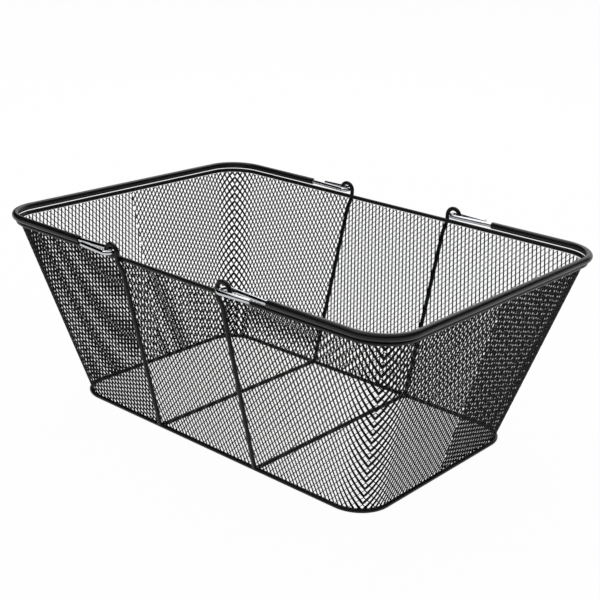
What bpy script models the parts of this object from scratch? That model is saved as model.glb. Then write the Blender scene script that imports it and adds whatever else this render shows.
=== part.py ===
"""Wire shopping basket: a flared body of steel wire and expanded mesh, with two folding handles.

Lengths are in metres and +Z is up. The basket stands on z = 0 with its middle on the origin. Its
long side runs along X and its short side along Y. Both handles lie folded out along the rim.
"""

import math

import bmesh
import bpy
from mathutils import Matrix, Vector

# Rim and base ring, measured between the centre lines of their wires
RIM_LENGTH = 0.430
RIM_WIDTH = 0.297
RIM_CORNER = 0.0310
BASE_LENGTH = 0.3415
BASE_WIDTH = 0.2085
BASE_CORNER = 0.0285
BODY_HEIGHT = 0.165

# Wire sizes and the gap that welded or touching pieces keep
FRAME_WIRE = 0.0035
HANDLE_WIRE = 0.0040
SEAT_GAP = 0.0003
WIRE_SIDES = 8
CORNER_STEPS = 6

# Posts: the four wall wires, each bent into an ear above the rim
POST_X = 0.0570
POST_OFFSET = 0.00095
POST_JOG_DROP = 0.0110
EAR_RADIUS = 0.0065
EAR_CENTRE_RISE = 0.0050
EAR_TIP_DROP = 0.0010
EAR_STEPS = 8

# Handles: a chromed wire, hooked through an ear at each end, and a sleeve that is the grip
HANDLE_RISE = 0.0052
HANDLE_OUTSET = 0.0020
HOOK_PLAY = 0.00045
HOOK_SPREAD = 0.0115
HOOK_INSET = 0.0007
HOOK_END_SPREAD = 0.0072
HOOK_STEPS = 8
GRIP_START_X = 0.1065
HOOK_END_GAP = 0.0110
GRIP_DIAMETER = 0.0062
GRIP_CLEARANCE = 0.0003

# Mesh: coarse nets of the wall panels and the floor, with the metal of the fine mesh in fewer
# strands. The floor's gaps are long and narrow, as wide as small goods that must not drop through
MESH_DEPTH = 0.0012
MESH_STRAND = 0.0032
MESH_SEAM_GAP = 0.0004
LONG_HALF_STEPS = 12
SHORT_HALF_STEPS = 6
ARC_HALF_STEPS = 2
END_HALF_STEPS = 6
WALL_ROW_COUNT = 3
FLOOR_DEPTH = 0.0006
FLOOR_STRAND = 0.0024
FLOOR_COLUMN_COUNT = 24
FLOOR_ROW_COUNT = 2
FLOOR_CORNER_CUT = 0.0040

# Shading: edges sharper than this stay crisp. A path that turns less than this is straight there
SHARP_EDGE = math.radians(50)
STRAIGHT_SINE = 1e-6

# Colours (linear), roughness and metallic values
BLACK_PAINT = ((0.012, 0.012, 0.012, 1.0), 0.35, 0.0)
BLACK_SLEEVE = ((0.016, 0.016, 0.015, 1.0), 0.30, 0.0)
CHROME = ((0.78, 0.78, 0.80, 1.0), 0.12, 1.0)

# Sizes that follow from the ones above
FRAME_RADIUS = FRAME_WIRE / 2
HANDLE_RADIUS = HANDLE_WIRE / 2
GRIP_RADIUS = GRIP_DIAMETER / 2
CORNER_REACH_SHARE = 1 / math.cos(math.pi / WIRE_SIDES)
RING_Z = FRAME_RADIUS
RIM_Z = RING_Z + BODY_HEIGHT
WALL_LEAN = math.atan2((RIM_WIDTH - BASE_WIDTH) / 2, BODY_HEIGHT)
EAR_OFFSET = 2 * FRAME_RADIUS + SEAT_GAP
HANDLE_Z = RIM_Z + HANDLE_RISE
PIVOT_X = POST_X + FRAME_RADIUS + HANDLE_RADIUS + HOOK_PLAY


def make_material(name, look):
    """Principled material of one colour, roughness and metallic value."""
    colour, roughness, metallic = look
    material = bpy.data.materials.new(name)
    material.use_nodes = True
    shader = material.node_tree.nodes["Principled BSDF"]
    shader.inputs["Base Color"].default_value = colour
    shader.inputs["Roughness"].default_value = roughness
    shader.inputs["Metallic"].default_value = metallic
    material.diffuse_color = colour
    return material


def add_object(name, bm, look, pivot=None):
    """Object from a bmesh, with its faces turned outwards; on a handle it hangs from its pivot."""
    bmesh.ops.recalc_face_normals(bm, faces=bm.faces)
    if pivot is not None:
        bmesh.ops.transform(bm, matrix=Matrix.Translation(-pivot.location), verts=bm.verts)
    mesh = bpy.data.meshes.new(name)
    bm.to_mesh(mesh)
    bm.free()
    mesh.shade_smooth()
    mesh.set_sharp_from_angle(angle=SHARP_EDGE)
    mesh.materials.append(make_material(name + "_finish", look))
    thing = bpy.data.objects.new(name, mesh)
    bpy.context.collection.objects.link(thing)
    if pivot is not None:
        thing.parent = pivot
    return thing


def rounded_outline(length, width, corner, z, steps):
    """Closed centre line of a rounded rectangle, as points, anticlockwise from above."""
    points = []
    for quarter, (sx, sy) in enumerate(((1, 1), (-1, 1), (-1, -1), (1, -1))):
        centre = Vector((sx * (length / 2 - corner), sy * (width / 2 - corner), z))
        for step in range(steps + 1):
            angle = math.radians(90) * (quarter + step / steps)
            points.append(centre + corner * Vector((math.cos(angle), math.sin(angle), 0)))
    return points


def tangents(points, closed):
    """Unit directions at the points of a path, halfway between the runs that meet there."""
    count = len(points)
    result = []
    for i, point in enumerate(points):
        ahead = points[(i + 1) % count] if closed or i < count - 1 else None
        behind = points[i - 1] if closed or i > 0 else None
        total = Vector((0, 0, 0))
        if ahead is not None:
            total += (ahead - point).normalized()
        if behind is not None:
            total += (point - behind).normalized()
        result.append(total.normalized())
    return result


def section_rings(bm, points, radius, level, closed):
    """Rings of vertices round a path: regular polygons about the wire's circle, one flat at -level."""
    rings = []
    directions = tangents(points, closed)
    count = len(points)
    for i, (point, along) in enumerate(zip(points, directions)):
        side = along.cross(level).normalized()
        up = side.cross(along)
        run = points[(i + 1) % count] - point if closed or i < count - 1 else point - points[i - 1]
        half_turn = along.angle(run)
        turn_axis = along.cross(run)
        stretch = 1 / math.cos(half_turn)
        bent = turn_axis.length > STRAIGHT_SINE * run.length
        spread = along.cross(turn_axis).normalized() if bent else None
        ring = []
        for k in range(WIRE_SIDES):
            angle = 2 * math.pi * (k + 0.5) / WIRE_SIDES
            reach = radius * CORNER_REACH_SHARE
            offset = reach * (math.cos(angle) * side + math.sin(angle) * up)
            if spread is not None:
                offset += spread * offset.dot(spread) * (stretch - 1)
            ring.append(bm.verts.new(point + offset))
        rings.append(ring)
    return rings


def bridge(bm, rings, closed):
    """Side faces between successive rings."""
    pairs = list(zip(rings, rings[1:]))
    if closed:
        pairs.append((rings[-1], rings[0]))
    for first, second in pairs:
        for k in range(WIRE_SIDES):
            m = (k + 1) % WIRE_SIDES
            bm.faces.new((first[k], first[m], second[m], second[k]))


def wire(name, points, radius, level, look, closed=False, pivot=None):
    """Solid wire along a path."""
    bm = bmesh.new()
    rings = section_rings(bm, points, radius, level, closed)
    bridge(bm, rings, closed)
    if not closed:
        bm.faces.new(rings[0])
        bm.faces.new(rings[-1])
    return add_object(name, bm, look, pivot)


def sleeve(name, points, radius, bore, level, look, pivot):
    """Tube along a path, open at both ends."""
    bm = bmesh.new()
    outer = section_rings(bm, points, radius, level, False)
    inner = section_rings(bm, points, bore, level, False)
    bridge(bm, outer, False)
    bridge(bm, inner, False)
    for end in (0, -1):
        for k in range(WIRE_SIDES):
            m = (k + 1) % WIRE_SIDES
            bm.faces.new((outer[end][k], outer[end][m], inner[end][m], inner[end][k]))
    return add_object(name, bm, look, pivot)


def arc(centre, first, second, start, end, steps):
    """Points on an arc about a centre, between two angles, in the plane of two unit vectors."""
    points = []
    for step in range(steps + 1):
        angle = start + (end - start) * step / steps
        points.append(centre + math.cos(angle) * first + math.sin(angle) * second)
    return points


def post_path(sx, sy):
    """Centre line of a wall wire: up the wall from the ring, out past the rim, over into the ear."""
    x = sx * POST_X
    foot_rise = (FRAME_RADIUS + SEAT_GAP) * math.cos(WALL_LEAN)
    foot_y = BASE_WIDTH / 2 + POST_OFFSET + foot_rise * math.tan(WALL_LEAN)
    jog_y = RIM_WIDTH / 2 + POST_OFFSET - POST_JOG_DROP * math.tan(WALL_LEAN)
    leg_y = RIM_WIDTH / 2 + EAR_OFFSET
    ear_z = RIM_Z + EAR_CENTRE_RISE
    points = [
        Vector((x, sy * foot_y, RING_Z + foot_rise)),
        Vector((x, sy * jog_y, RIM_Z - POST_JOG_DROP)),
        Vector((x, sy * leg_y, RIM_Z - FRAME_RADIUS)),
    ]
    centre = Vector((x + sx * EAR_RADIUS, sy * leg_y, ear_z))
    across = Vector((-sx * EAR_RADIUS, 0, 0))
    up = Vector((0, 0, EAR_RADIUS))
    points += arc(centre, across, up, 0, math.pi, EAR_STEPS)
    points.append(points[-1] - Vector((0, 0, EAR_TIP_DROP)))
    return points


def hook_path(sx, sy):
    """Centre line of a hook, from its cut end, round the closed end in the eye, to the grip."""
    z = HANDLE_Z
    inner_y = RIM_WIDTH / 2 - HOOK_INSET
    turn = HOOK_SPREAD / 2
    centre = Vector((sx * (PIVOT_X + turn), sy * (inner_y + turn), z))
    towards_end = Vector((-sx * turn, 0, 0))
    outwards = Vector((0, sy * turn, 0))
    grip_y = RIM_WIDTH / 2 + HANDLE_OUTSET
    cut_x = GRIP_START_X - HOOK_END_GAP
    cut_share = (cut_x - PIVOT_X) / (GRIP_START_X - PIVOT_X)
    cut_y = inner_y + (grip_y - inner_y) * cut_share + HOOK_END_SPREAD
    points = [Vector((sx * cut_x, sy * cut_y, z))]
    points += arc(centre, towards_end, outwards, math.pi / 2, -math.pi / 2, HOOK_STEPS)
    return points


def grip_path(sx):
    """Centre line of a grip: along the front, round the end and along the rear."""
    corner = RIM_CORNER + HANDLE_OUTSET
    centre_x = RIM_LENGTH / 2 - RIM_CORNER
    centre_y = RIM_WIDTH / 2 - RIM_CORNER
    grip_y = RIM_WIDTH / 2 + HANDLE_OUTSET
    points = [Vector((sx * GRIP_START_X, -grip_y, HANDLE_Z))]
    outwards = Vector((sx * corner, 0, 0))
    for sy in (-1, 1):
        centre = Vector((sx * centre_x, sy * centre_y, HANDLE_Z))
        across = Vector((0, sy * corner, 0))
        turn = arc(centre, outwards, across, 0, math.pi / 2, CORNER_STEPS)
        points += turn if sy > 0 else turn[::-1]
    points.append(Vector((sx * GRIP_START_X, grip_y, HANDLE_Z)))
    return points


def wall_size(z):
    """Length, width and corner of the mesh's middle surface at a height."""
    share = (z - RING_Z) / BODY_HEIGHT
    inset = (MESH_DEPTH / 2 + FRAME_RADIUS - POST_OFFSET + SEAT_GAP) / math.cos(WALL_LEAN)
    length = BASE_LENGTH + (RIM_LENGTH - BASE_LENGTH) * share - 2 * inset
    width = BASE_WIDTH + (RIM_WIDTH - BASE_WIDTH) * share - 2 * inset
    corner = BASE_CORNER + (RIM_CORNER - BASE_CORNER) * share - inset
    return length, width, corner


def panel_line(z, sx, sy, on_end, flat_steps):
    """Points and outward directions along one wall panel at a height, from seam to corner seam."""
    length, width, corner = wall_size(z)
    half_gap = MESH_SEAM_GAP / 2
    turn = Vector((sx * (length / 2 - corner), sy * (width / 2 - corner), z))
    if on_end:
        start = Vector((sx * length / 2, sy * half_gap, z))
        out, along = Vector((sx, 0, 0)), Vector((0, sy, 0))
    else:
        start = Vector((sx * half_gap - POST_X, sy * width / 2, z))
        out, along = Vector((0, sy, 0)), Vector((sx, 0, 0))
    bend_start = turn + corner * out
    result = [(start.lerp(bend_start, step / flat_steps), out) for step in range(flat_steps)]
    bend = math.radians(45) - half_gap / corner
    for step in range(ARC_HALF_STEPS + 1):
        angle = bend * step / ARC_HALF_STEPS
        normal = math.cos(angle) * out + math.sin(angle) * along
        result.append((turn + corner * normal, normal))
    return result


def diamond_net(name, columns, rows, place, depth, strand, look):
    """Net of staggered diamonds; place(i, j) gives the point and normal at a half step."""
    bm = bmesh.new()
    corners = {}

    def corner(i, j, side):
        key = (i, j, side)
        if key not in corners:
            point, normal = place(i, j)
            corners[key] = bm.verts.new(point + normal * depth / 2 * side)
        return corners[key]

    for i in range(2 * columns + 1):
        for j in range(2 * rows + 1):
            if (i + j) % 2 == 0:
                continue
            around = [(i - 1, j), (i, j - 1), (i + 1, j), (i, j + 1)]
            around = [
                (p, q) if 0 <= p <= 2 * columns and 0 <= q <= 2 * rows else (i, j)
                for p, q in around
            ]
            flat = [place(p, q)[0] for p, q in around]
            hole = inset_points(flat, strand / 2)
            faces = {}
            for side in (-1, 1):
                faces[side] = [
                    bm.verts.new(point + place(*spot)[1] * depth / 2 * side)
                    for point, spot in zip(hole, around)
                ]
            for k, spot in enumerate(around):
                m = (k + 1) % len(around)
                for side in (-1, 1):
                    rim = [corner(*spot, side), corner(*around[m], side)]
                    bm.faces.new((rim[0], rim[1], faces[side][m], faces[side][k]))
                bm.faces.new((faces[-1][k], faces[-1][m], faces[1][m], faces[1][k]))
                if (i, j) in (spot, around[m]):
                    border = (corner(*spot, -1), corner(*around[m], -1))
                    bm.faces.new((*border, corner(*around[m], 1), corner(*spot, 1)))
    return add_object(name, bm, look)


def inset_points(flat, inset):
    """Corners of a hole: each side of the cell moved inwards by the inset."""
    centre = sum(flat, Vector((0, 0, 0))) / len(flat)
    normal = (flat[2] - flat[0]).cross(flat[3] - flat[1]).normalized()
    count = len(flat)
    result = []
    for k in range(count):
        before = flat[k] - flat[k - 1]
        after = flat[(k + 1) % count] - flat[k]
        first = normal.cross(before).normalized()
        second = normal.cross(after).normalized()
        if first.dot(centre - flat[k - 1]) < 0:
            first, second = -first, -second
        share = 1 + first.dot(second)
        result.append(flat[k] + inset * (first + second) / share)
    return result


def wall_panel(name, sx, sy, on_end, flat_steps):
    """Panel of the wall mesh, from a seam on a flat wall to the middle of a corner."""
    rise = (FRAME_RADIUS + SEAT_GAP) * math.cos(WALL_LEAN)
    low, high = RING_Z + rise, RIM_Z - rise
    count = 2 * WALL_ROW_COUNT
    rows = [
        panel_line(low + (high - low) * j / count, sx, sy, on_end, flat_steps)
        for j in range(count + 1)
    ]

    def place(i, j):
        point, out = rows[j][i]
        return point, out * math.cos(WALL_LEAN) - Vector((0, 0, math.sin(WALL_LEAN)))

    columns = (flat_steps + ARC_HALF_STEPS) // 2
    return diamond_net(name, columns, WALL_ROW_COUNT, place, MESH_DEPTH, MESH_STRAND, BLACK_PAINT)


def floor_sheet():
    """Floor mesh: it lies on the cross wires and ends inside the wall mesh."""
    z = RING_Z + FRAME_RADIUS + SEAT_GAP + FLOOR_DEPTH / 2
    length, width, corner = wall_size(z - FLOOR_DEPTH / 2)
    margin = MESH_DEPTH / 2 / math.cos(WALL_LEAN) + SEAT_GAP
    length, width = length - 2 * margin, width - 2 * margin
    corner += FLOOR_CORNER_CUT - margin

    def place(i, j):
        x = length * i / (2 * FLOOR_COLUMN_COUNT) - length / 2
        y_share = 2 * j / (2 * FLOOR_ROW_COUNT) - 1
        over = max(0.0, abs(x) - (length / 2 - corner))
        half = width / 2 - corner + math.sqrt(max(0.0, corner * corner - over * over))
        return Vector((x, half * y_share, z)), Vector((0, 0, 1))

    counts = (FLOOR_COLUMN_COUNT, FLOOR_ROW_COUNT)
    return diamond_net("floor_mesh", *counts, place, FLOOR_DEPTH, FLOOR_STRAND, BLACK_PAINT)


def handle(side, sx):
    """Handle: a pivot on the line through two ears, with the wire and its grip."""
    pivot = bpy.data.objects.new(side + "_handle_pivot", None)
    pivot.location = (sx * PIVOT_X, 0, HANDLE_Z)
    bpy.context.collection.objects.link(pivot)
    level = Vector((0, 0, 1))
    grip = grip_path(sx)
    points = hook_path(sx, -1) + grip + hook_path(sx, 1)[::-1]
    wire(side + "_handle_wire", points, HANDLE_RADIUS, level, CHROME, pivot=pivot)
    bore = HANDLE_RADIUS + GRIP_CLEARANCE
    sleeve(side + "_grip", grip, GRIP_RADIUS, bore, level, BLACK_SLEEVE, pivot)


def main():
    for thing in list(bpy.data.objects):
        bpy.data.objects.remove(thing)

    level = Vector((0, 0, 1))
    rim = rounded_outline(RIM_LENGTH, RIM_WIDTH, RIM_CORNER, RIM_Z, CORNER_STEPS)
    wire("rim_wire", rim, FRAME_RADIUS, level, BLACK_PAINT, closed=True)
    base = rounded_outline(BASE_LENGTH, BASE_WIDTH, BASE_CORNER, RING_Z, CORNER_STEPS)
    wire("base_ring", base, FRAME_RADIUS, level, BLACK_PAINT, closed=True)

    cross_y = BASE_WIDTH / 2 - FRAME_RADIUS - SEAT_GAP
    for side, sx in (("left", -1), ("right", 1)):
        ends = [Vector((sx * POST_X, sy * cross_y, RING_Z)) for sy in (-1, 1)]
        wire(side + "_cross_wire", ends, FRAME_RADIUS, level, BLACK_PAINT)
        for row, sy in (("front", -1), ("rear", 1)):
            across = Vector((1, 1, 0))
            name = row + "_" + side + "_post"
            wire(name, post_path(sx, sy), FRAME_RADIUS, across, BLACK_PAINT)
            steps = LONG_HALF_STEPS if sx > 0 else SHORT_HALF_STEPS
            wall_panel(row + "_" + side + "_mesh", sx, sy, False, steps)
            wall_panel(side + "_" + row + "_mesh", sx, sy, True, END_HALF_STEPS)
        handle(side, sx)
    floor_sheet()


main()
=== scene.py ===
"""Wire shopping basket: fine wire, mesh, chrome and sleeves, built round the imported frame.

Lengths are in metres, +Z is up, and every piece lies where the frame's own solids lie. The long
side of the basket runs along X. Run the file as a script: it registers its panel and operators,
calls them in order and leaves a finished scene.
"""

import math

import bpy
import numpy as np
from bpy.props import FloatProperty, FloatVectorProperty, IntProperty, PointerProperty
from bpy.types import Operator, Panel, PropertyGroup
from mathutils import Matrix, Vector


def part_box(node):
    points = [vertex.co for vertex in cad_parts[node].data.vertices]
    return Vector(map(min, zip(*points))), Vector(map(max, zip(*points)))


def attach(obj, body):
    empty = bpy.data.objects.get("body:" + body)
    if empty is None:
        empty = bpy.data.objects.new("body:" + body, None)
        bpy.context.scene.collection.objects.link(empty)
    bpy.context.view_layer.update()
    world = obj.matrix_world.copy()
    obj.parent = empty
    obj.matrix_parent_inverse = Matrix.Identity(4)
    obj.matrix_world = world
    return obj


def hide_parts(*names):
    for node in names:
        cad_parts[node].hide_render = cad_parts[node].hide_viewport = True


bl_info = {
    "name": "Wire Shopping Basket",
    "version": (1, 0, 0),
    "blender": (4, 5, 0),
    "location": "View3D > Sidebar > Basket",
    "description": "Builds a wire and mesh shopping basket with two folding handles",
    "category": "Add Mesh",
}

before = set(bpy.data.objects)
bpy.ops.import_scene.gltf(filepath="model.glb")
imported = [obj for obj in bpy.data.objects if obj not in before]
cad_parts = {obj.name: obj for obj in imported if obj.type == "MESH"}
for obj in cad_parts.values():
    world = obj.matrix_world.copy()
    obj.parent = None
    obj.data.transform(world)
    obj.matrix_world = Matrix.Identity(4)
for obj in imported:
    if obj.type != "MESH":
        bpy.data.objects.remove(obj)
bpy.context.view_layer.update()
SIDES = (("left", -1), ("right", 1))
ROWS = (("front", -1), ("rear", 1))


def span(node, axis):
    """Extent of a solid of the frame along an axis."""
    low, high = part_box(node)
    return high[axis] - low[axis]


def middle(node, axis):
    """Middle of a solid of the frame along an axis."""
    low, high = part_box(node)
    return (high[axis] + low[axis]) / 2


# Sizes read from the frame: wires are measured across, lines between wires' centre lines
FRAME_WIRE = span("rim_wire", 2)
HANDLE_WIRE = span("left_handle_wire", 2)
GRIP_DIAMETER = span("left_grip", 2)
RIM_LENGTH = span("rim_wire", 0) - FRAME_WIRE
RIM_WIDTH = span("rim_wire", 1) - FRAME_WIRE
BASE_LENGTH = span("base_ring", 0) - FRAME_WIRE
BASE_WIDTH = span("base_ring", 1) - FRAME_WIRE
RIM_Z = middle("rim_wire", 2)
RING_Z = middle("base_ring", 2)
BODY_HEIGHT = RIM_Z - RING_Z
POST_LOW, POST_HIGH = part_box("rear_right_post")
POST_X = POST_LOW.x + FRAME_WIRE / 2
EAR_RADIUS = (POST_HIGH.x - POST_LOW.x - FRAME_WIRE) / 2
EAR_Y = POST_HIGH.y - FRAME_WIRE / 2
WIRE_LOW, WIRE_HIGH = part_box("right_handle_wire")
GRIP_LOW, GRIP_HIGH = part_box("right_grip")
HANDLE_Z = middle("right_handle_wire", 2)
PIVOT_X = WIRE_LOW.x + HANDLE_WIRE / 2
HOOK_OUTER_Y = WIRE_HIGH.y - HANDLE_WIRE / 2
GRIP_START_X = GRIP_LOW.x
GRIP_X = GRIP_HIGH.x - GRIP_DIAMETER / 2
GRIP_Y = GRIP_HIGH.y - GRIP_DIAMETER / 2
FLOOR_Z = middle("floor_mesh", 2)
WALL_LEAN = math.atan2((RIM_WIDTH - BASE_WIDTH) / 2, BODY_HEIGHT)

# What baked paint adds to a wire's diameter, and the height of a wall wire's foot over the ring's
# line, in wire radii
PAINT_GROWTH = 0.0003
FOOT_RISE = 0.8
# Points along a rounded corner, a hook or ear, a cut edge, a sleeve's lip and a wall strand
CORNER_POINTS = 25
BEND_POINTS = 33
CUT_POINTS = 5
LIP_POINTS = 6
STRAND_POINTS = 61
# Points along a corner of the floor, and the depth of its slanting strands as a share of the steep
# ones' depth, which keeps their faces apart
FLOOR_CORNER_POINTS = 7
FLOOR_SLANT_DEPTH = 0.9
# Shortest piece of a cut strand that is kept, in lattice steps
SHORTEST_STRAND = 0.02
# Cosine of 45 degrees, at which the middle line of a rounded corner lies
DIAGONAL = math.sqrt(0.5)
WHITE = (1.0, 1.0, 1.0, 1.0)
BLACK = (0.0, 0.0, 0.0, 1.0)


class WireSizes(PropertyGroup):
    """Sizes of the rim, base ring, wall wires and cross wires."""

    diameter: FloatProperty(
        name="Wire diameter", description="Round steel wire of the body with its baked paint",
        default=FRAME_WIRE + PAINT_GROWTH, unit="LENGTH", precision=4,
    )
    rim_corner: FloatProperty(
        name="Rim corner", description="Radius of the rim's corners at its centre line",
        default=0.0310, unit="LENGTH", precision=4,
    )
    base_corner: FloatProperty(
        name="Base corner", description="Radius of the base ring's corners at its centre line",
        default=0.0285, unit="LENGTH", precision=4,
    )
    post_offset: FloatProperty(
        name="Wall wire offset", description="How far the wall wires stand outside rim and ring",
        default=0.00095, unit="LENGTH", precision=5,
    )
    jog_drop: FloatProperty(
        name="Jog drop", description="Height below the rim at which a wall wire turns outwards",
        default=0.0110, unit="LENGTH", precision=4,
    )
    bend_reach: FloatProperty(
        name="Bend reach", description="Length of wire, each side of a corner, that its bend takes",
        default=0.0036, unit="LENGTH", precision=4,
    )
    ear_tip: FloatProperty(
        name="Ear tip", description="Straight length at the end of each ear",
        default=0.0010, unit="LENGTH", precision=4,
    )
    cut_edge: FloatProperty(
        name="Cut edge", description="Rounding at the cut ends of a wire",
        default=0.0003, unit="LENGTH", precision=5,
    )
    weld_length: FloatProperty(
        name="Weld length", description="Half length of a weld bead",
        default=0.0026, unit="LENGTH", precision=4,
    )
    weld_radius: FloatProperty(
        name="Weld radius", description="Half thickness of a weld bead",
        default=0.0010, unit="LENGTH", precision=4,
    )
    sides: IntProperty(
        name="Sides", description="Faces round a wire", default=20, min=8, max=64,
    )


class MeshSizes(PropertyGroup):
    """Sizes of the diamond mesh of the walls and the floor."""

    steep_across: FloatProperty(
        name="Steep strand, across", description="Run of a steep strand over one cell",
        default=0.00118, unit="LENGTH", precision=5,
    )
    steep_up: FloatProperty(
        name="Steep strand, up", description="Rise of a steep strand over one cell",
        default=0.00482, unit="LENGTH", precision=5,
    )
    slant_across: FloatProperty(
        name="Slanting strand, across", description="Run of a slanting strand over one cell",
        default=0.00330, unit="LENGTH", precision=5,
    )
    slant_up: FloatProperty(
        name="Slanting strand, up", description="Rise of a slanting strand over one cell",
        default=0.00342, unit="LENGTH", precision=5,
    )
    steep_width: FloatProperty(
        name="Steep strand width", description="Width of a steep strand in the mesh's plane",
        default=0.00073, unit="LENGTH", precision=5,
    )
    slant_width: FloatProperty(
        name="Slanting strand width", description="Width of a slanting strand in the mesh's plane",
        default=0.00047, unit="LENGTH", precision=5,
    )
    steep_depth: FloatProperty(
        name="Steep strand depth", description="Depth of a steep strand across that plane",
        default=0.00086, unit="LENGTH", precision=5,
    )
    slant_depth: FloatProperty(
        name="Slanting strand depth", description="Depth of a slanting strand across that plane",
        default=0.00113, unit="LENGTH", precision=5,
    )
    steep_tilt: FloatProperty(
        name="Steep strand tilt", description="Lean of a steep strand, as a share of its depth",
        default=-0.10,
    )
    slant_tilt: FloatProperty(
        name="Slanting strand tilt",
        description="Lean of a slanting strand, as a share of its depth", default=0.18,
    )
    floor_width: FloatProperty(
        name="Floor strand width", description="Width of a floor strand in the plane of the mesh",
        default=0.00012, unit="LENGTH", precision=5,
    )
    floor_depth: FloatProperty(
        name="Floor strand depth", description="Thickness of the floor mesh",
        default=0.00006, unit="LENGTH", precision=5,
    )
    inset: FloatProperty(
        name="Inset", description="Distance of the wall mesh inside the plane of rim and ring",
        default=0.00170, unit="LENGTH", precision=5,
    )
    edge_rise: FloatProperty(
        name="Edge rise", description="Distance of the mesh's edges from the lines of rim and ring",
        default=0.0015, unit="LENGTH", precision=4,
    )
    seam_gap: FloatProperty(
        name="Seam gap", description="Gap between two panels at a seam",
        default=0.0001, unit="LENGTH", precision=5,
    )
    mitre: FloatProperty(
        name="Mitre", description="Length over which strands turn to meet at a corner seam",
        default=0.00025, unit="LENGTH", precision=5,
    )
    corner_growth: FloatProperty(
        name="Corner growth", description="Share of each corner's own widening of bent strands",
        default=1.0, min=0,
    )


class HandleSizes(PropertyGroup):
    """Sizes of the hooked handle wires and their sleeves."""

    wire: FloatProperty(
        name="Handle wire", description="Diameter of the chromed wire",
        default=HANDLE_WIRE, unit="LENGTH", precision=4,
    )
    sleeve: FloatProperty(
        name="Sleeve", description="Outer diameter of the sleeve",
        default=GRIP_DIAMETER, unit="LENGTH", precision=4,
    )
    clearance: FloatProperty(
        name="Bore clearance", description="Gap between the sleeve's bore and the wire",
        default=0.0001, unit="LENGTH", precision=5,
    )
    lip: FloatProperty(
        name="Sleeve lip", description="Rounding of the sleeve's outer edge at its ends",
        default=0.0004, unit="LENGTH", precision=5,
    )
    hook_inset: FloatProperty(
        name="Hook inset", description="Distance of a hook's inner strand inside the rim's line",
        default=0.0007, unit="LENGTH", precision=5,
    )
    hook_end_gap: FloatProperty(
        name="Hook end gap", description="Distance from a hook's cut end to the sleeve",
        default=0.0110, unit="LENGTH", precision=4,
    )
    hook_end_spread: FloatProperty(
        name="Hook end spread", description="Distance of a hook's cut end from its inner strand",
        default=0.0072, unit="LENGTH", precision=4,
    )
    sides: IntProperty(
        name="Sides", description="Faces round a handle wire or sleeve", default=28, min=8, max=64,
    )


def linear(hex_code):
    """Linear colour of an sRGB hex code."""
    channels = np.array([int(hex_code[i:i + 2], 16) for i in (1, 3, 5)]) / 255
    low = channels / 12.92
    high = ((channels + 0.055) / 1.055) ** 2.4
    return tuple(float(x) for x in np.where(channels <= 0.04045, low, high)) + (1.0,)


class FinishColours(PropertyGroup):
    """Colours of the basket's finishes."""

    paint: FloatVectorProperty(
        name="Wire paint", description="Powder coat on the round wires",
        default=linear("#0B0B0B"), subtype="COLOR", size=4, min=0, max=1,
    )
    mesh: FloatVectorProperty(
        name="Mesh paint", description="Powder coat on the mesh",
        default=linear("#060606"), subtype="COLOR", size=4, min=0, max=1,
    )
    chrome: FloatVectorProperty(
        name="Chrome", description="Plating of the handle wires",
        default=linear("#C2C4C8"), subtype="COLOR", size=4, min=0, max=1,
    )
    sleeve: FloatVectorProperty(
        name="Sleeve", description="Vinyl of the grips",
        default=linear("#0D0D0C"), subtype="COLOR", size=4, min=0, max=1,
    )


class StageSettings(PropertyGroup):
    """Light, floor and curtain of the stage."""

    sky: FloatProperty(
        name="Sky light", description="Strength of the even light from all round",
        default=0.55, min=0,
    )
    top_lamp: FloatProperty(
        name="Top lamp", description="Power of the wide lamp behind and above, in watts",
        default=14.0, min=0,
    )
    side_lamp: FloatProperty(
        name="Side lamp", description="Power of the wide lamp at the front left, in watts",
        default=6.0, min=0,
    )
    floor_share: FloatProperty(
        name="Floor white", description="Share of the floor's white that shadows don't reach",
        default=0.97, min=0, max=1,
    )
    curtain_low: FloatProperty(
        name="Curtain low", description="Lower edge of the black curtain that chrome mirrors",
        default=0.35, unit="LENGTH",
    )
    curtain_high: FloatProperty(
        name="Curtain high", description="Upper edge of the black curtain that chrome mirrors",
        default=4.4, unit="LENGTH",
    )


class BasketSettings(PropertyGroup):
    """All settings of the basket and its stage."""

    wires: PointerProperty(type=WireSizes)
    mesh: PointerProperty(type=MeshSizes)
    handles: PointerProperty(type=HandleSizes)
    colours: PointerProperty(type=FinishColours)
    stage: PointerProperty(type=StageSettings)


def unit(vectors):
    """Vectors scaled to length one."""
    return vectors / np.linalg.norm(vectors, axis=-1, keepdims=True)


def rounded_rectangle(length, width, corner, z, steps=CORNER_POINTS):
    """Centre line of a rounded rectangle, anticlockwise from above: each corner is the arc
    centre + corner * (cos a, sin a) over its quarter turn, and straight runs join the arcs."""
    angle = math.pi / 2 * (np.arange(4)[:, None] + np.linspace(0, 1, steps)[None])
    signs = np.array([(1, 1), (-1, 1), (-1, -1), (1, -1)])
    x = signs[:, :1] * (length / 2 - corner) + corner * np.cos(angle)
    y = signs[:, 1:] * (width / 2 - corner) + corner * np.sin(angle)
    return np.stack([x, y, np.full_like(x, z)], -1).reshape(-1, 3)


def eased(points, reach, steps=9):
    """Polyline with rounded inner corners: a corner c becomes the curve
    (1-t)^2 a + 2t(1-t) c + t^2 b, where a and b lie on its two runs, reach away from it."""
    corner = points[1:-1]
    a = corner + reach * unit(points[:-2] - corner)
    b = corner + reach * unit(points[2:] - corner)
    t = np.linspace(0, 1, steps)[None, :, None]
    curve = (1 - t) ** 2 * a[:, None] + 2 * t * (1 - t) * corner[:, None] + t ** 2 * b[:, None]
    return np.vstack([points[:1], curve.reshape(-1, 3), points[-1:]])


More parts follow.
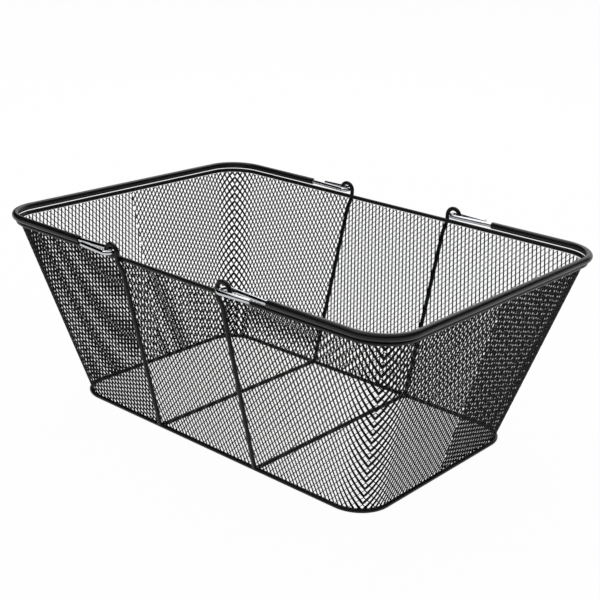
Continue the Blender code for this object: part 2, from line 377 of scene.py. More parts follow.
def arc(centre, first, second, start, end, steps):
    """Points centre + first * cos a + second * sin a, for a from start to end."""
    angle = np.linspace(start, end, steps)[:, None]
    first, second = np.asarray(first), np.asarray(second)
    return np.asarray(centre) + np.cos(angle) * first + np.sin(angle) * second


def path_frames(path, closed, level):
    """At each point of a path: its direction, the mean of the steps before and after it, and two
    unit vectors square to that, the first square to level as well."""
    step = unit(np.roll(path, -1, axis=0) - path)
    back = np.roll(step, 1, axis=0)
    if not closed:
        step[-1] = step[-2]
        back[0] = step[0]
    along = unit(step + back)
    side = unit(np.cross(along, np.asarray(level, float)))
    return along, side, np.cross(side, along)


def ring_points(path, side, up, radii, sides):
    """Grid of points p + r * (cos a * side + sin a * up), for each path point p and angle a."""
    angle = 2 * math.pi * np.arange(sides)[None, :, None] / sides
    spoke = np.cos(angle) * side[:, None] + np.sin(angle) * up[:, None]
    return path[:, None] + radii[:, None, None] * spoke


def grid_quads(rows, sides, closed):
    """Faces of a grid that closes on itself round its sides and, if closed, along its rows. Each
    corner comes with its own row and column, which run on past the closing line."""
    i, j = np.meshgrid(np.arange(rows if closed else rows - 1), np.arange(sides), indexing="ij")
    row = np.stack([i, i + 1, i + 1, i], -1).reshape(-1, 4)
    column = np.stack([j, j, j + 1, j + 1], -1).reshape(-1, 4)
    return (row % rows) * sides + column % sides, row, column


def end_fans(rows, sides):
    """Triangles that close a grid's first and last row. Two poles follow the grid's points."""
    j = np.arange(sides)
    after = (j + 1) % sides
    poles, last = rows * sides, (rows - 1) * sides
    first_fan = np.stack([np.full(sides, poles), j, after], -1)
    last_fan = np.stack([np.full(sides, poles + 1), last + after, last + j], -1)
    return first_fan, last_fan


def wire_uv(path, radius, sides, row, column):
    """UV pair of each corner of a wire's faces, in metres along its path and round it."""
    steps = np.linalg.norm(np.diff(path, axis=0, append=path[:1]), axis=1)
    along = np.concatenate([[0.0], np.cumsum(steps)])
    return np.stack([along[row], 2 * math.pi * radius * column / sides], -1)


def rounded_ends(path, edge, steps):
    """Path with more points near its ends, and how much narrower a rounded edge is at each of its
    points: edge * (1 - cos b) at a depth of edge * (1 - sin b), as b falls from 90 degrees to 0."""
    b = np.linspace(math.pi / 2, 0, steps)
    depth, shrink = edge * (1 - np.sin(b))[:, None], edge * (1 - np.cos(b))
    start = path[0] + depth * unit(path[1] - path[0])
    end = (path[-1] + depth * unit(path[-2] - path[-1]))[::-1]
    path = np.vstack([start, path[1:-1], end])
    return path, np.concatenate([shrink, np.zeros(len(path) - 2 * steps), shrink[::-1]])


def new_piece(name, vertices, faces, material, uv=None, sharp_degrees=40):
    """Mesh object from arrays. uv holds one pair for each face corner, in the faces' order."""
    mesh = bpy.data.meshes.new(name)
    mesh.from_pydata(vertices.tolist(), [], faces)
    if uv is not None:
        layer = mesh.uv_layers.new(name="UVMap")
        layer.data.foreach_set("uv", np.asarray(uv, np.float32).ravel())
    mesh.shade_smooth()
    mesh.set_sharp_from_angle(angle=math.radians(sharp_degrees))
    mesh.materials.append(material)
    mesh.validate()
    piece = bpy.data.objects.new(name, mesh)
    bpy.context.scene.collection.objects.link(piece)
    return piece


def closed_wire(name, path, radius, sides, material):
    """Round wire along a closed path: a circle carried along it."""
    _, side, up = path_frames(path, True, (0, 0, 1))
    vertices = ring_points(path, side, up, np.full(len(path), radius), sides).reshape(-1, 3)
    faces, row, column = grid_quads(len(path), sides, True)
    uv = wire_uv(path, radius, sides, row, column)
    return new_piece(name, vertices, faces.tolist(), material, uv)


def open_wire(name, path, radius, sides, edge, material, level=(0, 0, 1)):
    """Round wire along an open path: a circle carried along it, up to flat cut ends with a rounded
    edge."""
    path, shrinks = rounded_ends(path, edge, CUT_POINTS)
    _, side, up = path_frames(path, False, level)
    rings = ring_points(path, side, up, radius - shrinks, sides)
    vertices = np.vstack([rings.reshape(-1, 3), path[:1], path[-1:]])
    faces, row, column = grid_quads(len(path), sides, False)
    fans = np.vstack(end_fans(len(path), sides))
    uv = wire_uv(path, radius, sides, row, column).reshape(-1, 2)
    uv = np.vstack([uv, np.zeros((fans.size, 2))])
    return new_piece(name, vertices, faces.tolist() + fans.tolist(), material, uv)


def sleeve(name, path, radius, bore, lip, sides, material):
    """Tube along an open path, open at both ends: its section runs out along the outer circle,
    over a rounded lip, and back along the bore, and closes on itself."""
    outer, shrinks = rounded_ends(path, lip, LIP_POINTS)
    _, side, up = path_frames(outer, False, (0, 0, 1))
    count = len(outer)
    inner = np.r_[count - 1, np.arange(count - LIP_POINTS - 1, LIP_POINTS, -1), 0]
    order = np.concatenate([np.arange(count), inner])
    radii = np.concatenate([radius - shrinks, np.full(len(inner), bore)])
    rows = outer[order]
    vertices = ring_points(rows, side[order], up[order], radii, sides).reshape(-1, 3)
    faces, row, column = grid_quads(len(rows), sides, True)
    uv = wire_uv(rows, radius, sides, row, column)
    return new_piece(name, vertices, faces.tolist(), material, uv)


def panel_sizes(z, kind, sizes, corners):
    """At height z, half of the wall's length between corners' outermost lines, how far out the
    wall stands, and its corner's radius, all of the mesh's middle surface."""
    share = (z - RING_Z) / BODY_HEIGHT
    level_inset = sizes.inset / math.cos(WALL_LEAN)
    half_length = (BASE_LENGTH + (RIM_LENGTH - BASE_LENGTH) * share) / 2 - level_inset
    half_width = (BASE_WIDTH + (RIM_WIDTH - BASE_WIDTH) * share) / 2 - level_inset
    radius = corners[0] + (corners[1] - corners[0]) * share - level_inset
    if kind == "long":
        return half_length, half_width, radius
    return half_width, half_length, radius


def panel_point(u, z, kind, sx, sy, sizes, corners):
    """Point of a wall panel's middle surface: u runs level along the wall, towards its corner, and
    keeps its length as the panel rounds the corner, where the wall's distance out is
    out - radius + sqrt(radius^2 - (u - start)^2)."""
    half, out, radius = panel_sizes(z, kind, sizes, corners)
    over = np.clip(u - (half - radius), 0, radius)
    depth = out - radius + np.sqrt(radius ** 2 - over ** 2)
    if kind == "long":
        return np.stack([sx * u, sy * depth, z], -1)
    return np.stack([sx * depth, sy * u, z], -1)


def clipped_lines(starts, along, limits):
    """Where lines enter and leave a convex region. Each limit holds a normal and an offset, and the
    region is where normal . point <= offset. A line start + t * along meets a limit at
    t = (offset - normal . start) / (normal . along)."""
    normals, offsets = limits
    speed = normals @ along
    t = (offsets[None] - starts @ normals.T) / speed[None]
    enter = np.where(speed[None] < 0, t, -np.inf).max(1)
    leave = np.where(speed[None] > 0, t, np.inf).min(1)
    return enter, leave


def strands(along, across, origin, width, limits, samples):
    """Two edges of each strand of one family, as arrays of flat points, and the direction square to
    them. Strands run along one step of the lattice and repeat with the other, and are cut off at
    the region's limits."""
    reach = 2 * RIM_LENGTH / min(np.linalg.norm(across), np.linalg.norm(along))
    index = np.arange(-int(reach), int(reach) + 1)[:, None]
    square = np.array([-along[1], along[0]]) / np.linalg.norm(along)
    edges = []
    for side in (-0.5, 0.5):
        starts = origin + index * across + side * width * square
        edges.append((starts, *clipped_lines(starts, along, limits)))
    keep = np.all([leave - enter > SHORTEST_STRAND for _, enter, leave in edges], axis=0)
    share = np.linspace(0, 1, samples)
    rows = []
    for starts, enter, leave in edges:
        t = enter[keep, None] + (leave - enter)[keep, None] * share
        rows.append(starts[keep, None] + t[..., None] * along)
    return rows[0], rows[1], square


def lattice(name, families, origin, limits, spread, samples, material):
    """Mesh of two families of flat strands. A family holds the lattice step along a strand, the
    step across to the next one, the strand's width, its depth, its tilt and its growth. spread
    turns flat points into middle points, depth directions and shares of that growth, by which a
    strand is wider there. Every strand is a closed bar of four sides, whose front and back are
    moved apart along the sheet by depth * tilt."""
    points = 4 * samples
    quads, _, _ = grid_quads(samples, 4, False)
    bar = np.vstack([quads, [[3, 2, 1, 0], np.arange(points - 4, points)]])
    vertices, faces, total = [], [], 0
    for along, across, width, depth, tilt, growth in families:
        first, second, square = strands(along, across, origin, width, limits, samples)
        core = (first + second) / 2
        wider = 1 + growth * spread(core[..., 0], core[..., 1])[2][..., None]
        section = []
        for edge, side in ((first, 0.5), (second, 0.5), (second, -0.5), (first, -0.5)):
            moved = core + wider * (edge - core) + side * depth * tilt * square
            point, normal, _ = spread(moved[..., 0], moved[..., 1])
            section.append(point + side * depth * normal)
        vertices.append(np.stack(section, 2).reshape(-1, 3))
        shift = total + points * np.arange(len(first))[:, None, None]
        faces += (bar[None] + shift).reshape(-1, 4).tolist()
        total += points * len(first)
    piece = new_piece(name, np.vstack(vertices), faces, material, sharp_degrees=30)
    face_outwards(piece)
    return piece


def half_planes(corners):
    """Limits of a convex polygon whose corners run anticlockwise."""
    run = np.roll(corners, -1, axis=0) - corners
    normals = np.stack([run[:, 1], -run[:, 0]], -1)
    return normals, (normals * corners).sum(1)


def face_outwards(piece):
    """Turns every face round if the body's volume comes out negative."""
    mesh = piece.data
    corner = np.zeros(len(mesh.vertices) * 3, np.float32)
    mesh.vertices.foreach_get("co", corner)
    corner = corner.reshape(-1, 3).astype(float)
    mesh.calc_loop_triangles()
    triangles = np.zeros(len(mesh.loop_triangles) * 3, np.int32)
    mesh.loop_triangles.foreach_get("vertices", triangles)
    a, b, c = (corner[triangles.reshape(-1, 3)[:, k]] for k in range(3))
    if (a * np.cross(b, c)).sum() < 0:
        mesh.flip_normals()


def add_node(tree, kind, links=(), values=(), **settings):
    """Adds a node. settings are its own attributes, values its socket values and links its
    incoming links, both as pairs of a socket's name or number and a value or a socket."""
    made = tree.nodes.new(kind)
    for key, value in settings.items():
        setattr(made, key, value)
    for socket, value in values:
        made.inputs[socket].default_value = value
    for socket, source in links:
        tree.links.new(source, made.inputs[socket])
    return made


def new_material(name, colour):
    """Material with a Principled shader, its tree, and the shader."""
    material = bpy.data.materials.new(name)
    material.use_nodes = True
    material.diffuse_color = colour
    tree = material.node_tree
    return material, tree, tree.nodes["Principled BSDF"]


def bare_tree(owner):
    """Empty node tree of a new material or world."""
    owner.use_nodes = True
    owner.node_tree.nodes.clear()
    return owner.node_tree


def seen_directly(tree):
    """Output that is 1 for the camera, for mirrors and for glass, and 0 for light."""
    path = add_node(tree, "ShaderNodeLightPath").outputs
    seen = path["Is Camera Ray"]
    for ray in ("Is Glossy Ray", "Is Transmission Ray"):
        links = [(0, seen), (1, path[ray])]
        seen = add_node(tree, "ShaderNodeMath", links, operation="MAXIMUM").outputs[0]
    return seen


def lighter(colour, times):
    """Colour that is times as bright, up to white."""
    return tuple(min(1.0, times * channel) for channel in colour[:3]) + (1.0,)


def uneven(tree, shader, patches, patch_low, gloss, marks, strength, depth):
    """Gives a shader roughness that goes from gloss[0] to gloss[1] with a pattern of patches, and
    bumps from a pattern of marks."""
    rough = add_node(
        tree, "ShaderNodeMapRange", [("Value", patches.outputs["Fac"])],
        [("From Min", patch_low), ("From Max", 0.7), ("To Min", gloss[0]), ("To Max", gloss[1])],
    )
    bump = add_node(
        tree, "ShaderNodeBump", [("Height", marks.outputs["Fac"])],
        [("Strength", strength), ("Distance", depth)],
    )
    tree.links.new(rough.outputs[0], shader.inputs["Roughness"])
    tree.links.new(bump.outputs[0], shader.inputs["Normal"])


def coated_steel(name, colour, peel, speck, gloss, coat_ior):
    """Black powder coat, baked on steel wire. It melts to a smooth film that keeps a faint
    orange peel, and it is a little thicker and glossier in patches, so a highlight along the
    wire wavers slightly in width. peel and speck are the widths of a peel mark and of a grain of
    powder. A real grain is under 0.1 mm and is drawn coarser, so that it shows."""
    material, tree, shader = new_material(name, colour)
    place = add_node(tree, "ShaderNodeTexCoord").outputs["Object"]
    patch, peel_depth = 12 * peel, peel / 30
    patches, grains, marks = (
        add_node(
            tree, "ShaderNodeTexNoise", [("Vector", place)],
            [("Scale", 1 / size), ("Detail", detail), ("Roughness", roughness)],
        )
        for size, detail, roughness in ((patch, 3.0, 0.55), (speck, 2.0, 0.6), (peel, 1.5, 0.4))
    )
    shade = add_node(
        tree, "ShaderNodeMix", [(0, grains.outputs["Fac"])],
        [(6, colour), (7, lighter(colour, 2.1))], data_type="RGBA",
    )
    tree.links.new(shade.outputs[2], shader.inputs["Base Color"])
    uneven(tree, shader, patches, 0.3, gloss, marks, 0.35, peel_depth)
    shader.inputs["IOR"].default_value = coat_ior
    return material


def drawn_skin(tree, shader, line_size, line_noise, relief, patch_size, patch_low, gloss):
    """Skin that a die leaves, and its patches from handling, which it gives back. Lines run along
    the piece, in its UV map's metres: line_size is their length and width, line_noise their detail
    and roughness, relief their strength and depth."""
    place = add_node(tree, "ShaderNodeTexCoord").outputs
    length, width = line_size
    stretched = add_node(
        tree, "ShaderNodeMapping", [("Vector", place["UV"])],
        [("Scale", (1 / length, 1 / width, 1.0))],
    )
    lines = add_node(
        tree, "ShaderNodeTexNoise", [("Vector", stretched.outputs[0])],
        [("Scale", 1.0), ("Detail", line_noise[0]), ("Roughness", line_noise[1])],
    )
    patches = add_node(
        tree, "ShaderNodeTexNoise", [("Vector", place["Object"])],
        [("Scale", 1 / patch_size), ("Detail", 4.0), ("Roughness", 0.6)],
    )
    uneven(tree, shader, patches, patch_low, gloss, lines, *relief)
    return patches


def chromed_wire(colour):
    """Bright chrome over nickel on cold-drawn wire. Plating copies the wire's draw lines, which
    run along it, so its reflections are sharp along the wire and slightly spread across it. Real
    draw lines are under 0.1 mm wide and are drawn coarser, so that they show."""
    material, tree, shader = new_material("bright_chrome_on_drawn_wire", colour)
    drawn_skin(
        tree, shader, line_size=(0.030, 0.00035), line_noise=(3.0, 0.6), relief=(0.06, 0.00001),
        patch_size=0.006, patch_low=0.35, gloss=(0.05, 0.12),
    )
    shader.inputs["Base Color"].default_value = colour
    shader.inputs["Metallic"].default_value = 1.0
    return material


def vinyl_sleeve(colour):
    """Extruded soft PVC tube, pushed over the wire. The die leaves faint lines along it, drawn
    coarser than real ones, and the skin is smooth and slightly greasy, so it shines more broadly
    than the paint."""
    material, tree, shader = new_material("extruded_vinyl_sleeve", colour)
    smears = drawn_skin(
        tree, shader, line_size=(0.060, 0.0009), line_noise=(2.0, 0.5), relief=(0.3, 0.00003),
        patch_size=0.014, patch_low=0.3, gloss=(0.24, 0.36),
    )
    shade = add_node(
        tree, "ShaderNodeMix", [(0, smears.outputs["Fac"])],
        [(6, colour), (7, lighter(colour, 1.8))], data_type="RGBA",
    )
    tree.links.new(shade.outputs[2], shader.inputs["Base Color"])
    shader.inputs["IOR"].default_value = 1.36
    return material


def finish_for(slot, colours):
    """The material of one of the record's slots, made once."""
    recipes = {
        "frame_paint": lambda: coated_steel(
            "black_powder_coat_on_wire", tuple(colours.paint),
            peel=0.0009, speck=0.0004, gloss=(0.26, 0.38), coat_ior=1.30,
        ),
        "mesh_paint": lambda: coated_steel(
            "black_powder_coat_on_mesh", tuple(colours.mesh),
            peel=0.0005, speck=0.0003, gloss=(0.34, 0.46), coat_ior=1.15,
        ),
        "handle_chrome": lambda: chromed_wire(tuple(colours.chrome)),
        "grip_sleeve": lambda: vinyl_sleeve(tuple(colours.sleeve)),
    }
    label = "finish_" + slot
    for material in bpy.data.materials:
        if material.get("slot") == label:
            return material
    made = recipes[slot]()
    made["slot"] = label
    return made


def settle(piece, body, slot, *nodes):
    """Ties a finished piece to its body and hides the solids of the frame that it stands for. slot
    is not used.
    """
    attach(piece, body)
    if nodes:
        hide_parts(*nodes)


def post_path(sx, sy, wires):
    """Centre line of a wall wire: up the wall from the ring, out past the rim, over in an arch."""
    x = sx * POST_X
    radius = wires.diameter / 2
    ear_z = POST_HIGH.z - radius - EAR_RADIUS
    foot_rise = radius * FOOT_RISE
    foot_y = BASE_WIDTH / 2 + wires.post_offset + foot_rise * math.tan(WALL_LEAN)
    jog_y = RIM_WIDTH / 2 + wires.post_offset - wires.jog_drop * math.tan(WALL_LEAN)
    rise = np.array([
        (x, sy * foot_y, RING_Z + foot_rise),
        (x, sy * jog_y, RIM_Z - wires.jog_drop),
        (x, sy * EAR_Y, RIM_Z - radius),
        (x, sy * EAR_Y, ear_z),
    ])
    arch = arc(
        (x + sx * EAR_RADIUS, sy * EAR_Y, ear_z), (-sx * EAR_RADIUS, 0, 0), (0, 0, EAR_RADIUS),
        0, math.pi, BEND_POINTS,
    )
    tip = arch[-1:] - np.array([[0, 0, wires.ear_tip]])
    return np.vstack([eased(rise, wires.bend_reach)[:-1], arch, tip])


def hook_path(sx, sy, handles):
    """Centre line of a hook: from its cut end back to the ear, round a half circle, and on."""
    inner_y = RIM_WIDTH / 2 - handles.hook_inset
    turn = (HOOK_OUTER_Y - inner_y) / 2
    cut_x = GRIP_START_X - handles.hook_end_gap
    share = (cut_x - PIVOT_X) / (GRIP_START_X - PIVOT_X)
    cut_y = inner_y + (GRIP_Y - inner_y) * share + handles.hook_end_spread
    bend = arc(
        (sx * (PIVOT_X + turn), sy * (inner_y + turn), HANDLE_Z), (-sx * turn, 0, 0),
        (0, sy * turn, 0), math.pi / 2, -math.pi / 2, BEND_POINTS,
    )
    return np.vstack([[(sx * cut_x, sy * cut_y, HANDLE_Z)], bend])


def grip_path(sx, wires):
    """Centre line of a grip: along the front, round the basket's end and along the rear."""
    corner = wires.rim_corner + GRIP_X - RIM_LENGTH / 2
    bend = arc(
        (sx * (GRIP_X - corner), GRIP_Y - corner, HANDLE_Z), (sx * corner, 0, 0), (0, corner, 0),
        0, math.pi / 2, CORNER_POINTS,
    )
    rear = np.vstack([bend, [(sx * GRIP_START_X, GRIP_Y, HANDLE_Z)]])
    return np.vstack([rear[::-1] * (1, -1, 1), rear])


def beads(name, centres, wires, material):
    """Weld beads along X, as stretched balls: centre + length * cos b * run + radius * sin b *
    (cos a * side + sin a * up), with one point at each pole."""
    rings, sides = 9, 14
    b = np.linspace(0, math.pi, rings + 2)
    run, askew = np.array([[1.0, 0.0, 0.0]]), np.array([1.0, 0.7, 0.4])
    side = unit(np.cross(run, askew))
    line = wires.weld_length * np.cos(b)[:, None] * run
    radii = wires.weld_radius * np.sin(b)
    ball = ring_points(line[1:-1], side, np.cross(run, side), radii[1:-1], sides)
    ball = np.vstack([ball.reshape(-1, 3), line[:1], line[-1:]])
    vertices = np.asarray(centres)[:, None] + ball
    quads, _, _ = grid_quads(rings, sides, False)
    shift = len(ball) * np.arange(len(centres))[:, None, None]
    faces = []
    for group in (quads, *end_fans(rings, sides)):
        faces += (group[None] + shift).reshape(-1, group.shape[1]).tolist()
    piece = new_piece(name, vertices.reshape(-1, 3), faces, material)
    face_outwards(piece)
    return piece


class BASKET_OT_wires(Operator):
    """Builds the rim, base ring, wall wires, cross wires and weld beads"""

    bl_idname = "basket.wires"
    bl_label = "Build wires"

    def execute(self, context):
        basket = context.scene.basket
        wires = basket.wires
        paint = finish_for("frame_paint", basket.colours)
        radius, sides = wires.diameter / 2, wires.sides
        rim = rounded_rectangle(RIM_LENGTH, RIM_WIDTH, wires.rim_corner, RIM_Z)
        settle(closed_wire("rim", rim, radius, sides, paint), "basket", "frame_paint", "rim_wire")
        ring = rounded_rectangle(BASE_LENGTH, BASE_WIDTH, wires.base_corner, radius)
        ring = closed_wire("ring", ring, radius, sides, paint)
        settle(ring, "basket", "frame_paint", "base_ring")
        end_y = BASE_WIDTH / 2 - radius / 2
        # Welds, as y and z: wall wire to rim, wall wire to ring and cross wire to ring
        welds = (
            ((RIM_WIDTH / 2 + EAR_Y) / 2, RIM_Z - wires.weld_radius),
            (BASE_WIDTH / 2 + radius / 2, RING_Z + radius),
            (BASE_WIDTH / 2 - radius, RING_Z + radius / 2),
        )
        centres = []
        for side, sx in SIDES:
            line = np.array([(sx * POST_X, y, radius) for y in (-end_y, end_y)])
            cross = open_wire(side + "_cross", line, radius, sides, wires.cut_edge, paint)
            settle(cross, "basket", "frame_paint", side + "_cross_wire")
            for row, sy in ROWS:
                path = post_path(sx, sy, wires)
                name = row + "_" + side + "_wall_wire"
                post = open_wire(name, path, radius, sides, wires.cut_edge, paint, (1, 1, 0))
                settle(post, "basket", "frame_paint", row + "_" + side + "_post")
                centres += [(sx * POST_X, sy * y, z) for y, z in welds]
        settle(beads("weld_beads", centres, wires, paint), "basket", "frame_paint")
        return {"FINISHED"}


# The lattice at each corner, the same for its two panels, whose strands meet there: its place, as
# shares of the steep and the slanting step from where the corner's middle line meets the ring's
# height, then how much wider steep and slanting strands are where the sheet is bent
CORNER_LATTICES = {
    ("front", "right"): (0.70, 0.88, 0.97, 0.16),
    ("front", "left"): (0.94, 0.84, 0.50, 0.50),
    ("rear", "right"): (0.33, 0.76, 0.50, 0.50),
    ("rear", "left"): (0.93, 0.01, 0.44, 1.28),
}


class BASKET_OT_walls(Operator):
    """Builds the wall mesh as eight panels, each from a seam on a flat wall to a corner"""

    bl_idname = "basket.walls"
    bl_label = "Build wall mesh"

    def execute(self, context):
        for side, sx in SIDES:
            for row, sy in ROWS:
                lattice_here = CORNER_LATTICES[row, side]
                panels = ((row + "_" + side, "long", -sx * POST_X), (side + "_" + row, "end", 0.0))
                for name, kind, seam in panels:
                    panel = self.make_panel(
                        name + "_wall_mesh", kind, sx, sy, seam, lattice_here, context.scene.basket)
                    settle(panel, "basket", "mesh_paint", name + "_mesh")
        return {"FINISHED"}

    def make_panel(self, name, kind, sx, sy, seam, lattice_here, basket):
        """One panel. Flat points are (u, z), with u level along the wall, towards its corner."""
        sizes, corners = basket.mesh, (basket.wires.base_corner, basket.wires.rim_corner)
        steep_shift, slant_shift, steep_growth, slant_growth = lattice_here
        slope = math.cos(WALL_LEAN)
        steep = np.array([-sizes.steep_across, sizes.steep_up * slope])
        slant = np.array([sizes.slant_across, sizes.slant_up * slope])

        def corner_line(z):
            """Length along the wall to the corner's middle line at height z."""
            half, _, radius = panel_sizes(z, kind, sizes, corners)
            return half - radius * (1 - DIAGONAL)

        low, high = RING_Z + sizes.edge_rise, RIM_Z - sizes.edge_rise
        ends = [corner_line(z) - sizes.seam_gap / 2 for z in (low, high, RING_Z)]
        start = seam + sizes.seam_gap / 2
        limits = half_planes(np.array([
            (start, low), (ends[0], low), (ends[1], high), (start, high)]))
        wall = np.array([0, sy, 0] if kind == "long" else [sx, 0, 0]) * slope
        wall[2] = -math.sin(WALL_LEAN)
        mitred = np.array([sx * slope / 2, sy * slope / 2, wall[2]])

        def spread(u, z):
            half, _, radius = panel_sizes(z, kind, sizes, corners)
            share = np.clip(1 - (corner_line(z) - u) / sizes.mitre, 0, 1)[..., None]
            point = panel_point(u, z, kind, sx, sy, sizes, corners)
            bent = np.clip((u - half + radius) / (radius * DIAGONAL), 0, 1)
            return point, wall * (1 - share) + mitred * share, sizes.corner_growth * bent

        origin = np.array([ends[2], RING_Z]) + steep_shift * steep + slant_shift * slant
        families = (
            (steep, slant, sizes.steep_width, sizes.steep_depth, sizes.steep_tilt, steep_growth),
            (slant, steep, sizes.slant_width, sizes.slant_depth, sizes.slant_tilt, slant_growth),
        )
        paint = finish_for("mesh_paint", basket.colours)
        return lattice(name, families, origin, limits, spread, STRAND_POINTS, paint)


class BASKET_OT_floor(Operator):
    """Builds the floor mesh, a flat sheet just over the cross wires"""

    bl_idname = "basket.floor"
    bl_label = "Build floor mesh"

    def execute(self, context):
        basket = context.scene.basket
        sizes = basket.mesh
        outline = rounded_rectangle(
            span("floor_mesh", 0), span("floor_mesh", 1), basket.wires.base_corner, FLOOR_Z,
            FLOOR_CORNER_POINTS,
        )
        # The photograph shows no mesh here, so its strands are too thin to be made out
        steep = np.array([-sizes.steep_across, sizes.steep_up])
        slant = np.array([sizes.slant_across, sizes.slant_up])
        families = (
            (steep, slant, sizes.floor_width, sizes.floor_depth, 0.0, 0.0),
            (slant, steep, sizes.floor_width, sizes.floor_depth * FLOOR_SLANT_DEPTH, 0.0, 0.0),
        )

        def spread(x, y):
            zero = np.zeros_like(x)
            return np.stack([x, y, zero + FLOOR_Z], -1), np.array([0.0, 0.0, 1.0]), zero

        sheet = lattice(
            "floor_sheet", families, np.zeros(2), half_planes(outline[:, :2]), spread,
            samples=2, material=finish_for("mesh_paint", basket.colours),
        )
        settle(sheet, "basket", "mesh_paint", "floor_mesh")
        return {"FINISHED"}


class BASKET_OT_handles(Operator):
    """Builds the chromed handle wires with their hooks, and the sleeves that are the grips"""

    bl_idname = "basket.handles"
    bl_label = "Build handles"

    def execute(self, context):
        basket = context.scene.basket
        wires, handles = basket.wires, basket.handles
        chrome = finish_for("handle_chrome", basket.colours)
        vinyl = finish_for("grip_sleeve", basket.colours)
        for side, sx in SIDES:
            grip = grip_path(sx, wires)
            hooks = [hook_path(sx, sy, handles) for sy in (-1, 1)]
            path = np.vstack([hooks[0], grip, hooks[1][::-1]])
            radius = handles.wire / 2
            wire = open_wire(
                side + "_hooked_wire", path, radius, handles.sides, wires.cut_edge, chrome)
            settle(wire, side + "_handle", "handle_chrome", side + "_handle_wire")
            tube = sleeve(
                side + "_sleeve", grip, handles.sleeve / 2, radius + handles.clearance,
                handles.lip, handles.sides, vinyl,
            )
            settle(tube, side + "_handle", "grip_sleeve", side + "_grip")
        return {"FINISHED"}


# Camera of the photograph, in the basket's frame: where it looks, from what angle and distance
CAMERA_TARGET = Vector((-0.0009, 0.0, 0.1093))
CAMERA_AZIMUTH = math.radians(40.66)
CAMERA_ELEVATION = math.radians(19.86)
CAMERA_ROLL = math.radians(2.15)
CAMERA_DISTANCE = 1.0448
CAMERA_LENS = 70.52
CAMERA_SHIFT = (0.0152, -0.0008)
# Place and width of each lamp, half of the floor's width, and the curtain's arc
TOP_LAMP = ((-0.9, 1.3, 1.9), 1.6)
SIDE_LAMP = ((-0.8, -0.9, 2.3), 0.9)
FLOOR_HALF = 6.0
CURTAIN_RADIUS = 3.2
CURTAIN_ANGLES = (math.radians(-212), math.radians(75))
CURTAIN_COLUMNS = 48


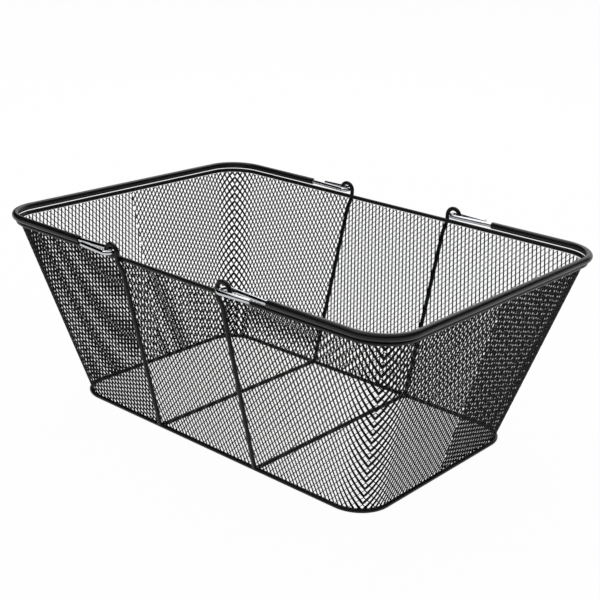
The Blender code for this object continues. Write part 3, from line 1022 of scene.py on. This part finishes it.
class BASKET_OT_stage(Operator):
    """Builds the white floor, the soft light, the curtain that chrome mirrors, and the camera"""

    bl_idname = "basket.stage"
    bl_label = "Build stage"

    def execute(self, context):
        stage = context.scene.basket.stage
        self.make_floor(stage)
        self.make_sky(context.scene, stage)
        self.make_lamp("top_lamp", *TOP_LAMP, stage.top_lamp)
        self.make_lamp("side_lamp", *SIDE_LAMP, stage.side_lamp)
        self.make_curtain(stage)
        self.make_camera(context.scene)
        context.scene.view_settings.view_transform = "Standard"
        return {"FINISHED"}

    def make_floor(self, stage):
        """Flat white floor. Part of its white is its own, so that shadows on it stay faint."""
        corners = np.array([(-1, -1, 0), (1, -1, 0), (1, 1, 0), (-1, 1, 0)]) * FLOOR_HALF
        material = bpy.data.materials.new("white_paper_floor")
        tree = bare_tree(material)
        share = add_node(
            tree, "ShaderNodeMath", [(0, seen_directly(tree))], [(1, stage.floor_share)],
            operation="MULTIPLY",
        )
        paper = add_node(tree, "ShaderNodeBsdfDiffuse", (), [("Color", WHITE)])
        own = add_node(tree, "ShaderNodeEmission", (), [("Color", WHITE), ("Strength", 1.0)])
        mixed = add_node(
            tree, "ShaderNodeMixShader",
            [(0, share.outputs[0]), (1, paper.outputs[0]), (2, own.outputs[0])],
        )
        add_node(tree, "ShaderNodeOutputMaterial", [("Surface", mixed.outputs[0])])
        floor = new_piece("floor", corners, [(0, 1, 2, 3)], material)

    def make_sky(self, scene, stage):
        """Even light from all round, which the camera and reflections see as white."""
        world = bpy.data.worlds.new("soft_sky")
        scene.world = world
        tree = bare_tree(world)
        strength = add_node(
            tree, "ShaderNodeMapRange", [("Value", seen_directly(tree))],
            [("To Min", stage.sky), ("To Max", 1.0)],
        )
        sky = add_node(
            tree, "ShaderNodeBackground", [("Strength", strength.outputs[0])], [("Color", WHITE)])
        add_node(tree, "ShaderNodeOutputWorld", [("Surface", sky.outputs[0])])

    def make_lamp(self, name, place, size, power):
        """Square area lamp that looks at the middle of the basket."""
        light = bpy.data.lights.new(name, "AREA")
        light.shape = "SQUARE"
        light.size = size
        light.energy = power
        lamp = bpy.data.objects.new(name, light)
        lamp.location = place
        towards = CAMERA_TARGET - Vector(place)
        lamp.rotation_mode = "QUATERNION"
        lamp.rotation_quaternion = towards.to_track_quat("-Z", "Y")
        bpy.context.scene.collection.objects.link(lamp)

    def make_curtain(self, stage):
        """Black curtain round the stage, open at the rear and the rear left, which only glossy
        surfaces see. It stands for the dark room, and draws the dark line along polished wire. Its
        points are radius * (cos a, sin a) at its lower and upper edge."""
        columns = CURTAIN_COLUMNS
        angle = np.linspace(*CURTAIN_ANGLES, columns)
        curve = CURTAIN_RADIUS * np.stack([np.cos(angle), np.sin(angle)], -1)
        heights = (stage.curtain_low, stage.curtain_high)
        rows = [np.column_stack([curve, np.full(columns, z)]) for z in heights]
        first = np.arange(columns - 1)
        faces = np.stack([first, first + 1, first + 1 + columns, first + columns], -1)
        material = bpy.data.materials.new("black_felt_curtain")
        tree = bare_tree(material)
        felt = add_node(tree, "ShaderNodeBsdfDiffuse", (), [("Color", BLACK)])
        add_node(tree, "ShaderNodeOutputMaterial", [("Surface", felt.outputs[0])])
        curtain = new_piece("curtain", np.vstack(rows), faces.tolist(), material)
        curtain.visible_camera = False
        curtain.visible_diffuse = False
        curtain.visible_transmission = False
        curtain.visible_shadow = False

    def make_camera(self, scene):
        """Camera at the photograph's angle. back points from the target to the camera."""
        data = bpy.data.cameras.new("camera")
        data.lens = CAMERA_LENS
        data.sensor_width = 36.0
        data.shift_x, data.shift_y = CAMERA_SHIFT
        data.clip_start, data.clip_end = 0.01, 50.0
        azimuth, elevation = CAMERA_AZIMUTH, CAMERA_ELEVATION
        back = Vector((
            math.sin(azimuth) * math.cos(elevation),
            -math.cos(azimuth) * math.cos(elevation),
            math.sin(elevation),
        ))
        right = Vector((math.cos(azimuth), math.sin(azimuth), 0))
        up = back.cross(right)
        across = math.cos(CAMERA_ROLL) * right + math.sin(CAMERA_ROLL) * up
        above = math.cos(CAMERA_ROLL) * up - math.sin(CAMERA_ROLL) * right
        turn = Matrix((across, above, back)).transposed()
        camera = bpy.data.objects.new("camera", data)
        camera.matrix_world = Matrix.LocRotScale(
            CAMERA_TARGET + back * CAMERA_DISTANCE, turn.to_quaternion(), None)
        scene.collection.objects.link(camera)
        scene.camera = camera


class BASKET_PT_panel(Panel):
    """Sizes, colours and buttons of the basket"""

    bl_idname = "BASKET_PT_panel"
    bl_label = "Wire Shopping Basket"
    bl_space_type = "VIEW_3D"
    bl_region_type = "UI"
    bl_category = "Basket"

    def draw(self, context):
        basket = context.scene.basket
        for group in ("wires", "mesh", "handles", "colours", "stage"):
            box = self.layout.box()
            box.label(text=group.capitalize())
            settings = getattr(basket, group)
            for name in settings.__annotations__:
                box.prop(settings, name)
        for operator in BUILD_ORDER:
            self.layout.operator(operator.bl_idname)


BUILD_ORDER = (
    BASKET_OT_stage, BASKET_OT_wires, BASKET_OT_walls, BASKET_OT_floor, BASKET_OT_handles,
)
GROUPS = (WireSizes, MeshSizes, HandleSizes, FinishColours, StageSettings, BasketSettings)
CLASSES = GROUPS + BUILD_ORDER + (BASKET_PT_panel,)


def register():
    for cls in CLASSES:
        bpy.utils.register_class(cls)
    bpy.types.Scene.basket = PointerProperty(type=BasketSettings)


def unregister():
    del bpy.types.Scene.basket
    for cls in reversed(CLASSES):
        bpy.utils.unregister_class(cls)


def main():
    """Registers everything and builds the scene."""
    register()
    bpy.ops.basket.stage()
    bpy.ops.basket.wires()
    bpy.ops.basket.walls()
    bpy.ops.basket.floor()
    bpy.ops.basket.handles()


if __name__ == "__main__":
    main()
